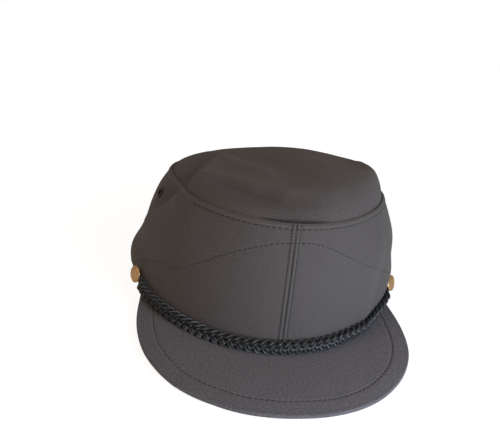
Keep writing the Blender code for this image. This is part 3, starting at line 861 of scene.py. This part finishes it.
def speckle_group():
    """A fine uneven speckle from a dark to a light colour, for thread, cord and metal."""
    group = bpy.data.node_groups.new("fine_speckle", "ShaderNodeTree")
    group.interface.new_socket("Place", in_out="INPUT", socket_type="NodeSocketVector")
    group.interface.new_socket("Scale", in_out="INPUT", socket_type="NodeSocketFloat")
    group.interface.new_socket("Detail", in_out="INPUT", socket_type="NodeSocketFloat")
    group.interface.new_socket("Dark", in_out="INPUT", socket_type="NodeSocketColor")
    group.interface.new_socket("Light", in_out="INPUT", socket_type="NodeSocketColor")
    group.interface.new_socket("Colour", in_out="OUTPUT", socket_type="NodeSocketColor")
    group.interface.new_socket("Speckle", in_out="OUTPUT", socket_type="NodeSocketFloat")
    nodes = group.nodes
    links = group.links
    given = nodes.new("NodeGroupInput")
    result = nodes.new("NodeGroupOutput")
    speckle = nodes.new("ShaderNodeTexNoise")
    links.new(given.outputs["Place"], speckle.inputs["Vector"])
    links.new(given.outputs["Scale"], speckle.inputs["Scale"])
    links.new(given.outputs["Detail"], speckle.inputs["Detail"])
    colour = nodes.new("ShaderNodeMix")
    colour.data_type = "RGBA"
    links.new(speckle.outputs["Fac"], colour.inputs[0])
    links.new(given.outputs["Dark"], colour.inputs[6])
    links.new(given.outputs["Light"], colour.inputs[7])
    links.new(colour.outputs[2], result.inputs["Colour"])
    links.new(speckle.outputs["Fac"], result.inputs["Speckle"])
    return group


SPECKLE = speckle_group()


def speckled_material(name, scale, detail, dark, light):
    """A material coloured by the speckle, with its surface and the speckle for what else follows it."""
    made = bpy.data.materials.new(name)
    made.use_nodes = True
    nodes = made.node_tree.nodes
    links = made.node_tree.links
    surface = nodes["Principled BSDF"]
    place = nodes.new("ShaderNodeTexCoord")
    speckle = nodes.new("ShaderNodeGroup")
    speckle.node_tree = SPECKLE
    speckle.inputs["Scale"].default_value = scale
    speckle.inputs["Detail"].default_value = detail
    speckle.inputs["Dark"].default_value = (*dark, 1.0)
    speckle.inputs["Light"].default_value = (*light, 1.0)
    links.new(place.outputs["Object"], speckle.inputs["Place"])
    links.new(speckle.outputs["Colour"], surface.inputs["Base Color"])
    return made, surface, speckle


def thread_material():
    dark = (0.006, 0.005, 0.006)
    light = (0.022, 0.018, 0.020)
    made, surface, speckle = speckled_material("dark_thread", 4000.0, 2.0, dark, light)
    surface.inputs["Roughness"].default_value = 0.6
    return made


def strands(lines, sides):
    """One shape of round strands, each along a line of points with a radius at every point."""
    curve = bpy.data.curves.new("strand_lines", "CURVE")
    curve.dimensions = "3D"
    curve.bevel_depth = 1.0
    curve.bevel_resolution = sides
    curve.use_fill_caps = True
    for points, radii in lines:
        line = curve.splines.new("POLY")
        line.points.add(len(points) - 1)
        line.points.foreach_set("co", np.column_stack([points, np.ones(len(points))]).ravel())
        line.points.foreach_set("radius", radii)
    laid = bpy.data.objects.new("strand_lines", curve)
    bpy.context.scene.collection.objects.link(laid)
    seen = bpy.context.evaluated_depsgraph_get()
    mesh = bpy.data.meshes.new_from_object(laid.evaluated_get(seen))
    shape = bmesh.new()
    shape.from_mesh(mesh)
    bpy.data.objects.remove(laid, do_unlink=True)
    bmesh.ops.remove_doubles(shape, verts=shape.verts[:], dist=0.000002)
    bmesh.ops.recalc_face_normals(shape, faces=shape.faces[:])
    return shape


def sew(line, outward, pitch, length, radius, lift):
    """Stitches along a line of surface points, a pitch apart."""
    outward = outward / np.linalg.norm(outward, axis=1, keepdims=True)
    run = np.concatenate([[0.0], np.cumsum(np.linalg.norm(np.diff(line, axis=0), axis=1))])
    count = int(run[-1] / pitch)
    middles = (np.arange(count) + 0.5) * run[-1] / count
    bow = np.array(STITCH_BOW[1:])
    made = []
    for middle in middles:
        places = middle + bow[:, 0] * length
        spots = np.stack([np.interp(places, run, line[:, axis]) for axis in range(3)], -1)
        out = np.stack([np.interp(places, run, outward[:, axis]) for axis in range(3)], -1)
        made.append((spots + out * (lift * bow[:, 2:3]), radius * bow[:, 1]))
    return made


def wall_rows():
    """The rows along the top seam, beside the front and rear seams, and round the stiffener,
    and a dark strand laid in the opening of the top seam at the centre front, painted shade for the gap."""
    all_round = np.radians(np.linspace(-125.0, 235.0, 1441))
    line, out, along = cloth_frame(all_round, 1.0 - TOP_ROW / seam_point(all_round)[2])
    plain = np.degrees(all_round) > -46.0
    rows = sew(line[plain], out[plain], *TOP_STITCHES)
    ups = np.linspace(0.03, 0.990, ROW_STATIONS)
    half = RIM_HALF_WIDTH * (1.0 - ups) + SEAM_HALF_WIDTH * ups
    for middle in (0.0, math.pi):
        for side in (-1.0, 0.0, 1.0):
            line, out, along = cloth_frame(middle + side * np.arcsin(FRONT_ROW / half), ups)
            rows = rows + sew(line, out, *(SEAM_STITCHES if side == 0.0 else BESIDE_STITCHES))
    for start, end, stitches in (
        (-79.0, -38.0, STIFFENER_END_STITCHES),
        (-38.0, 28.0, STIFFENER_STITCHES),
        (28.0, 74.0, STIFFENER_END_STITCHES),
    ):
        turns = np.radians(np.linspace(start, end, ROW_STATIONS))
        line, out, along = cloth_frame(turns, stiffener_up(turns))
        rows = rows + sew(line, out, *stitches)
    # This dark strand in the opening of the top seam is painted shade for the gap.
    turns = np.radians(np.linspace(-19.0, 26.0, 90))
    gap_shade_strand = np.stack(seam_point(turns, SEAM_OPENING), -1) + SHIFT + np.array([0.0, 0.0, GAP_SHADE_LIFT])
    swell = np.sin(np.linspace(0.0, math.pi, len(turns))) ** 0.8
    rows.append((gap_shade_strand, GAP_SHADE_RADIUS * swell + 0.00003))
    return rows


def peak_row():
    """The row that follows the peak's free edge."""
    edge = PEAK_FREE_EDGE
    along = np.gradient(edge, axis=0)
    along = along / np.linalg.norm(along, axis=1, keepdims=True)
    inward = np.column_stack([-along[:, 1], along[:, 0]])
    row = edge + inward * PEAK_ROW
    clear = np.abs(from_line(row[:, 0], row[:, 1], PEAK_WALL_EDGE[::4])[0]) > 0.004
    outside = np.abs(from_line(row[:, 0], row[:, 1], edge[::2])[0]) > PEAK_ROW - 0.0003
    ahead = row[:, 1] < -0.052
    row = row[clear & outside & ahead]
    line = np.column_stack([row, peak_height(row[:, 0]) + PEAK_THICK + peak_top_relief(row)]) + SHIFT
    return sew(line, np.tile([0.0, 0.0, 1.0], (len(line), 1)), *PEAK_STITCHES)


add_piece("stitches", strands(wall_rows() + peak_row(), 1), thread_material(), "crown_cloth")

# Chin cord
# Three strands, each of two thin round black cords side by side, plaited round a soft core. The plait lies
# along the wall on the peak and goes under the button at each side.
CORD_RADIUS = 0.0030
CORD_GAP = 0.0003
CORD_END_RISE = 0.0030
CORD_RISE_POWER = 3.0
BUTTON_FROM_CENTRE = 0.0426
BUTTON_HEIGHT = 0.0138
BUTTON_TURN = math.acos(BUTTON_FROM_CENTRE / RIM_FRONT)
PLAIT_PERIOD = 0.0138
PLAIT_HALF_HEIGHT = 0.00250
PLAIT_HALF_DEPTH = 0.00175
PLAIT_LIFT = 0.0006
PLAIT_OFF_WALL = 0.0002
PLAIT_END_SHORT = 0.0016
PLAIT_STATIONS = 900
STRAND_RADIUS = 0.00058
STRAND_SPREAD = 0.00088
CORE_RADIUS = 0.00105
CORE_SPREAD = 0.00105

# On the wearer's left the button stands further forward, and the plait climbs, spreads and is drawn in to it.
LEFT_BUTTON_FORWARD = 0.095
LEFT_RISE = 0.0030
LEFT_SPREAD = 0.30
LEFT_DRAWN_IN = 0.0007


def cord_height(turn):
    """The middle of the cord, which lies on the peak and climbs a little to the buttons."""
    beside = np.abs(rim_point(turn)[0]) + 2.0 * CORD_RADIUS
    on_peak = peak_height(beside) + PEAK_THICK + CORD_GAP + CORD_RADIUS
    return on_peak + CORD_END_RISE * (np.abs(turn) / BUTTON_TURN) ** CORD_RISE_POWER


def cord_material():
    dark = (0.010, 0.010, 0.012)
    light = (0.047, 0.050, 0.057)
    made, surface, speckle = speckled_material("black_plait", 3000.0, 3.0, dark, light)
    raised = made.node_tree.nodes.new("ShaderNodeBump")
    raised.inputs["Strength"].default_value = 0.4
    raised.inputs["Distance"].default_value = 0.0001
    made.node_tree.links.new(speckle.outputs["Speckle"], raised.inputs["Height"])
    made.node_tree.links.new(raised.outputs["Normal"], surface.inputs["Normal"])
    surface.inputs["Roughness"].default_value = 0.52
    surface.inputs["Specular IOR Level"].default_value = 0.6
    return made


def unit(vectors):
    return vectors / np.linalg.norm(vectors, axis=1, keepdims=True)


def plait_path(count):
    """The middle of the plait with its outward and upright directions, the run along it,
    and how full it is in height and in depth; it is pressed flat under the buttons."""
    end_step = PLAIT_END_SHORT / RIM_HALF_WIDTH
    left_end = BUTTON_TURN - LEFT_BUTTON_FORWARD
    turns = np.linspace(-BUTTON_TURN + end_step, left_end - end_step, count)
    climb = LEFT_RISE * smooth_step(0.66 * left_end, left_end, turns)
    wall, out, along = cloth_frame(turns, share_up(turns, cord_height(turns) + PLAIT_LIFT + climb))
    from_button = np.minimum(BUTTON_TURN + turns, left_end - turns) * RIM_HALF_WIDTH
    full = 0.60 + 0.40 * smooth_step(0.0010, 0.0070, from_button)
    full = full * (1.0 + LEFT_SPREAD * smooth_step(0.50 * BUTTON_TURN, 0.85 * BUTTON_TURN, turns))
    flat = 0.25 + 0.75 * smooth_step(0.0040, 0.0100, from_button)
    depth = PLAIT_HALF_DEPTH * flat + STRAND_RADIUS * (0.6 + 0.4 * flat)
    drawn_in = LEFT_DRAWN_IN * smooth_step(0.50 * left_end, 0.80 * left_end, turns)
    middle = wall + out * (depth + PLAIT_OFF_WALL - drawn_in)[:, None]
    run = np.concatenate([[0.0], np.cumsum(np.linalg.norm(np.diff(middle, axis=0), axis=1))])
    upright = np.cross(unit(np.gradient(middle, axis=0)), out)
    upright = unit(upright * np.sign(upright[:, 2:3]))
    return middle, out, upright, run, full, flat


def plait_cords():
    """The line and radius of each thin cord in the plait, two to a strand, and of the core."""
    middle, out, upright, run, full, flat = plait_path(PLAIT_STATIONS)
    cord_radius = STRAND_RADIUS * (0.6 + 0.4 * flat)
    core_radius = CORE_RADIUS * np.maximum(flat, 0.85) * np.maximum(full, 1.0)
    cords = []
    for strand in range(3):
        phase = 2.0 * math.pi * (run / PLAIT_PERIOD + strand / 3.0)
        rise = PLAIT_HALF_HEIGHT * np.sin(phase) * full
        stand = PLAIT_HALF_DEPTH * np.sin(2.0 * phase) * flat
        line = middle + upright * rise[:, None] + out * stand[:, None]
        beside = unit(np.cross(unit(np.gradient(line, axis=0)), out))
        for side in (-1.0, 1.0):
            cords.append((line + beside * (side * STRAND_SPREAD * full)[:, None], cord_radius))
    for side in (-1.0, 1.0):
        cords.append((middle + upright * (side * CORE_SPREAD * full)[:, None], core_radius))
    return cords


def chin_cord():
    plait = strands(plait_cords(), 1)
    return add_piece("plaited_cord", plait, cord_material(), "cord", "chin_cord")


chin_cord()

# Side buttons
# Plain domed brass, pressed from sheet with a rolled rim, on a short shank through the wall.
# They hold the ends of the cord.
BUTTON_RADIUS = 0.0053
BUTTON_THICK = 0.0018
BUTTON_SHANK_RADIUS = 0.0013
BUTTON_CLEARANCE = 0.0003

# One row for each button: its side, how far it sits towards the front (radians round the crown) and upward,
# how far its back is off the wall, and how many degrees it leans to the front and upward.
BUTTON_LEAN = (
    ("side", "forward", "raised", "seat", "to_front", "upward"),
    (-1.0, 0.0, 0.0, 0.0018, 10.0, 0.0),
    (1.0, LEFT_BUTTON_FORWARD, 0.0050, 0.0003, 20.0, 22.0),
)


def turned(profile, steps):
    """A solid turned about Z from a line of radius and height pairs."""
    solid = bmesh.new()
    line = [solid.verts.new((radius, 0.0, height)) for radius, height in profile]
    edges = [solid.edges.new(pair) for pair in zip(line[:-1], line[1:])]
    bmesh.ops.spin(
        solid,
        geom=line + edges,
        axis=(0.0, 0.0, 1.0),
        cent=(0.0, 0.0, 0.0),
        angle=2.0 * math.pi,
        steps=steps,
        use_merge=True,
    )
    bmesh.ops.remove_doubles(solid, verts=solid.verts[:], dist=0.00001)
    bmesh.ops.recalc_face_normals(solid, faces=solid.faces[:])
    return solid


def stand_on_wall(turn, up, off_wall):
    """Turns Z outward from the wall at this place, and moves to it."""
    here, out, along = wall_frame(np.array(turn), np.array(up))
    upright = Vector(np.cross(out, along)).normalized()
    place = Matrix((Vector(along), upright, Vector(out))).transposed().to_4x4()
    place.translation = Vector(here + out * off_wall + SHIFT)
    return place


def brass_material():
    tarnished = (0.52, 0.29, 0.13)
    bright = (0.90, 0.60, 0.33)
    made, surface, speckle = speckled_material("aged_brass", 420.0, 5.0, tarnished, bright)
    rough = made.node_tree.nodes.new("ShaderNodeMapRange")
    rough.inputs["To Min"].default_value = 0.52
    rough.inputs["To Max"].default_value = 0.30
    made.node_tree.links.new(speckle.outputs["Speckle"], rough.inputs["Value"])
    made.node_tree.links.new(rough.outputs["Result"], surface.inputs["Roughness"])
    surface.inputs["Metallic"].default_value = 0.9
    return made


BRASS = brass_material()


def side_button(name, node, side, forward, raised, seat, to_front, upward):
    """A domed button turned from its outline: the shank, the flat back, the rolled rim and the dome."""
    face = seat + BUTTON_THICK
    rolled = []
    for bend in np.linspace(-math.pi / 2.0, math.pi * 0.80, 12):
        reach = BUTTON_RADIUS * (0.92 + 0.08 * math.cos(bend))
        rolled.append((reach, seat + BUTTON_THICK * (0.42 + 0.34 * math.sin(bend))))
    dome = []
    for bend in np.linspace(0.0, math.pi / 2.0, 12):
        fall = BUTTON_THICK * 0.34 * (1.0 - math.sin(bend))
        dome.append((BUTTON_RADIUS * 0.84 * math.cos(bend), face - fall))
    profile = [
        (0.0, 0.0),
        (BUTTON_SHANK_RADIUS, 0.0),
        (BUTTON_SHANK_RADIUS, seat),
        (BUTTON_RADIUS * 0.88, seat),
        *rolled,
        *dome[:-1],
        (0.0, face),
    ]
    solid = turned(profile, 48)
    turn = side * (BUTTON_TURN - forward)
    up = float(share_up(turn, BUTTON_HEIGHT + raised))
    leant = Matrix.Rotation(math.radians(-side * to_front), 4, "Y")
    tipped = Matrix.Rotation(math.radians(-upward), 4, "X")
    place = stand_on_wall(turn, up, BUTTON_CLEARANCE) @ leant @ tipped
    bmesh.ops.transform(solid, matrix=place, verts=solid.verts[:])
    return add_piece(name, solid, BRASS, "button", node)


side_button("brass_button_right", "side_button_right", *BUTTON_LEAN[1])
side_button("brass_button_left", "side_button_left", *BUTTON_LEAN[2])

# Vent eyelets
# A small dark metal eyelet pressed through each side panel below the top seam, to let air out.
EYELET_HOLE_RADIUS = 0.0023
EYELET_RADIUS = 0.0036
EYELET_LIP = 0.0004
EYELET_GAP = 0.0003
EYELET_BARREL_INSIDE = 0.0012


def eyelet_material():
    """Dark painted metal with a cloth-coloured lip, and near-black inside the barrel: painted shade of the
    deep hole.
    """
    dark = (0.040, 0.034, 0.032)
    light = (0.095, 0.082, 0.077)
    made, surface, speckle = speckled_material("dark_eyelet", 900.0, 2.0, dark, light)
    nodes = made.node_tree.nodes
    links = made.node_tree.links
    # The barrel's inside is painted near-black, painted shade for the deep hole.
    hole_shade_mark = nodes.new("ShaderNodeAttribute")
    hole_shade_mark.attribute_name = "inside"
    shaded = nodes.new("ShaderNodeMix")
    shaded.data_type = "RGBA"
    shaded.inputs[7].default_value = (0.001, 0.001, 0.001, 1.0)
    links.new(hole_shade_mark.outputs["Fac"], shaded.inputs[0])
    links.new(speckle.outputs["Colour"], shaded.inputs[6])
    links.new(shaded.outputs[2], surface.inputs["Base Color"])
    surface.inputs["Metallic"].default_value = 0.3
    surface.inputs["Roughness"].default_value = 0.5
    return made


EYELET_METAL = eyelet_material()


def vent_eyelet(name, side, node):
    """An eyelet turned from its outline: the barrel through the wall and the rolled lip outside it."""
    barrel = EYELET_HOLE_RADIUS + 0.5 * EYELET_LIP
    below = -WALL_THICK - EYELET_GAP - EYELET_BARREL_INSIDE
    lip_foot = EYELET_GAP * 0.3
    middle = (EYELET_HOLE_RADIUS + EYELET_RADIUS) / 2.0
    half = (EYELET_RADIUS - EYELET_HOLE_RADIUS) / 2.0
    lip = [
        (middle + half * math.cos(bend), lip_foot + EYELET_LIP * math.sin(bend))
        for bend in np.linspace(0.0, math.pi, 10)
    ]
    inner_end = (EYELET_HOLE_RADIUS, below)
    ring = turned([inner_end, (barrel, below), (barrel, lip_foot), *lip, inner_end], 32)
    # Verts inside the hole are marked for the barrel's painted shade.
    inside = ring.verts.layers.float.new("inside")
    for vert in ring.verts:
        in_hole = vert.co.xy.length < EYELET_HOLE_RADIUS + 0.0001 and vert.co.z < 0.5 * EYELET_LIP
        vert[inside] = 1.0 if in_hole else 0.0
    place = stand_on_wall(side * math.radians(EYELET_AROUND), EYELET_UP, EYELET_GAP)
    bmesh.ops.transform(ring, matrix=place, verts=ring.verts[:])
    return add_piece(name, ring, EYELET_METAL, "eyelet", node)


vent_eyelet("metal_eyelet_right", -1.0, "vent_eyelet_right")
vent_eyelet("metal_eyelet_left", 1.0, "vent_eyelet_left")

# Floor, light and camera
# A plain pale floor that runs off into a white surround, two small soft lights at the front on the wearer's
# left, a large warm one high on the other side, and the camera where the cap was seen from.
CAMERA_TURN = -10.33
CAMERA_RISE = 22.234
CAMERA_ROLL = 6.877
CAMERA_PLACE = (-0.05419, -0.28683, 0.15780)
CAMERA_LENS = 34.19
CAMERA_SHIFT = (-0.03026, 0.03406)


def pale_floor():
    """A matt floor that the camera sees almost white, with a faint shadow, partly real and partly painted as
    a dimmer glow near the cap, and dark inside the crown.
    """
    flat = bmesh.new()
    bmesh.ops.create_grid(flat, x_segments=1, y_segments=1, size=6.0)
    bmesh.ops.translate(flat, verts=flat.verts[:], vec=(0.0, 0.0, -0.0002))
    mesh = bpy.data.meshes.new("pale_floor")
    flat.to_mesh(mesh)
    flat.free()
    made = bpy.data.materials.new("pale_floor")
    made.use_nodes = True
    nodes = made.node_tree.nodes
    links = made.node_tree.links
    matt = nodes["Principled BSDF"]
    matt.inputs["Base Color"].default_value = (0.93, 0.93, 0.93, 1.0)
    matt.inputs["Roughness"].default_value = 0.9
    matt.inputs["Specular IOR Level"].default_value = 0.1
    pale = nodes.new("ShaderNodeBsdfPrincipled")
    pale.inputs["Base Color"].default_value = (0.30, 0.31, 0.33, 1.0)
    pale.inputs["Roughness"].default_value = 1.0
    pale.inputs["Specular IOR Level"].default_value = 0.0
    pale.inputs["Emission Strength"].default_value = 1.0
    place = nodes.new("ShaderNodeTexCoord")
    reach = nodes.new("ShaderNodeVectorMath")
    reach.operation = "LENGTH"
    links.new(place.outputs["Object"], reach.inputs[0])
    # The camera-seen glow is painted a little dimmer near the cap, a painted shadow round it.
    glow = nodes.new("ShaderNodeMapRange")
    glow.inputs["From Min"].default_value = 0.12
    glow.inputs["From Max"].default_value = 0.60
    glow.inputs["To Min"].default_value = 0.88
    glow.inputs["To Max"].default_value = 1.0
    links.new(reach.outputs["Value"], glow.inputs["Value"])
    beneath = nodes.new("ShaderNodeMapRange")
    beneath.inputs["From Min"].default_value = 0.072
    beneath.inputs["From Max"].default_value = 0.078
    links.new(reach.outputs["Value"], beneath.inputs["Value"])
    glow_with_painted_shadow = nodes.new("ShaderNodeMath")
    glow_with_painted_shadow.operation = "MULTIPLY"
    links.new(glow.outputs["Result"], glow_with_painted_shadow.inputs[0])
    links.new(beneath.outputs["Result"], glow_with_painted_shadow.inputs[1])
    links.new(glow_with_painted_shadow.outputs[0], pale.inputs["Emission Color"])
    ray = nodes.new("ShaderNodeLightPath")
    either = nodes.new("ShaderNodeMixShader")
    links.new(ray.outputs["Is Camera Ray"], either.inputs[0])
    links.new(matt.outputs[0], either.inputs[1])
    links.new(pale.outputs[0], either.inputs[2])
    links.new(either.outputs[0], nodes["Material Output"].inputs["Surface"])
    mesh.materials.append(made)
    floor = bpy.data.objects.new("pale_floor", mesh)
    bpy.context.scene.collection.objects.link(floor)


def white_surround():
    """A faint warm glow all round, which the camera sees as white."""
    world = bpy.data.worlds.new("white_surround")
    world.use_nodes = True
    bpy.context.scene.world = world
    nodes = world.node_tree.nodes
    links = world.node_tree.links
    glow = nodes["Background"]
    glow.inputs["Color"].default_value = (1.0, 0.93, 0.88, 1.0)
    glow.inputs["Strength"].default_value = 0.2
    seen = nodes.new("ShaderNodeBackground")
    seen.inputs["Color"].default_value = (1.0, 1.0, 1.0, 1.0)
    seen.inputs["Strength"].default_value = 1.0
    ray = nodes.new("ShaderNodeLightPath")
    either = nodes.new("ShaderNodeMixShader")
    links.new(ray.outputs["Is Camera Ray"], either.inputs[0])
    links.new(glow.outputs[0], either.inputs[1])
    links.new(seen.outputs[0], either.inputs[2])
    links.new(either.outputs[0], nodes["World Output"].inputs["Surface"])


# One row for each soft light: where it stands, how wide it is, and its power in red, green and blue.
LIGHTS = (
    ("name", "place", "size", "power"),
    ("key_front_right", (0.16, -0.36, 0.20), 0.20, (0.640, 0.602, 0.615)),
    ("low_front_right", (0.13, -0.25, 0.06), 0.12, (0.255, 0.337, 0.382)),
    ("left_high", (-0.807, -0.216, 1.036), 0.80, (4.15, 3.24, 2.06)),
)
LIT_PLACE = Vector((0.0, -0.05, 0.03))


def soft_light(name, place, size, power):
    data = bpy.data.lights.new(name, "AREA")
    data.size = size
    data.energy = max(power)
    data.color = [share / max(power) for share in power]
    lamp = bpy.data.objects.new(name, data)
    lamp.location = place
    lamp.rotation_euler = (LIT_PLACE - Vector(place)).to_track_quat("-Z", "Y").to_euler()
    lamp.visible_camera = False
    bpy.context.scene.collection.objects.link(lamp)


def camera():
    """The camera, turned round the cap, raised, and rolled a little about its own line of sight."""
    turn = math.radians(CAMERA_TURN)
    rise = math.radians(CAMERA_RISE)
    roll = math.radians(CAMERA_ROLL)
    back = Vector((math.sin(turn) * math.cos(rise), -math.cos(turn) * math.cos(rise), math.sin(rise)))
    level = Vector((math.cos(turn), math.sin(turn), 0.0))
    upward = back.cross(level)
    right = level * math.cos(roll) + upward * math.sin(roll)
    over = upward * math.cos(roll) - level * math.sin(roll)
    data = bpy.data.cameras.new("camera")
    data.lens = CAMERA_LENS
    data.sensor_width = 36.0
    data.shift_x, data.shift_y = CAMERA_SHIFT
    data.clip_start = 0.01
    seen_by = bpy.data.objects.new("camera", data)
    place = Matrix((right, over, back)).transposed().to_4x4()
    place.translation = Vector(CAMERA_PLACE)
    seen_by.matrix_world = place
    bpy.context.scene.collection.objects.link(seen_by)
    bpy.context.scene.camera = seen_by


pale_floor()
white_surround()
for light in LIGHTS[1:]:
    soft_light(*light)
camera()
bpy.context.scene.view_settings.view_transform = "Standard"
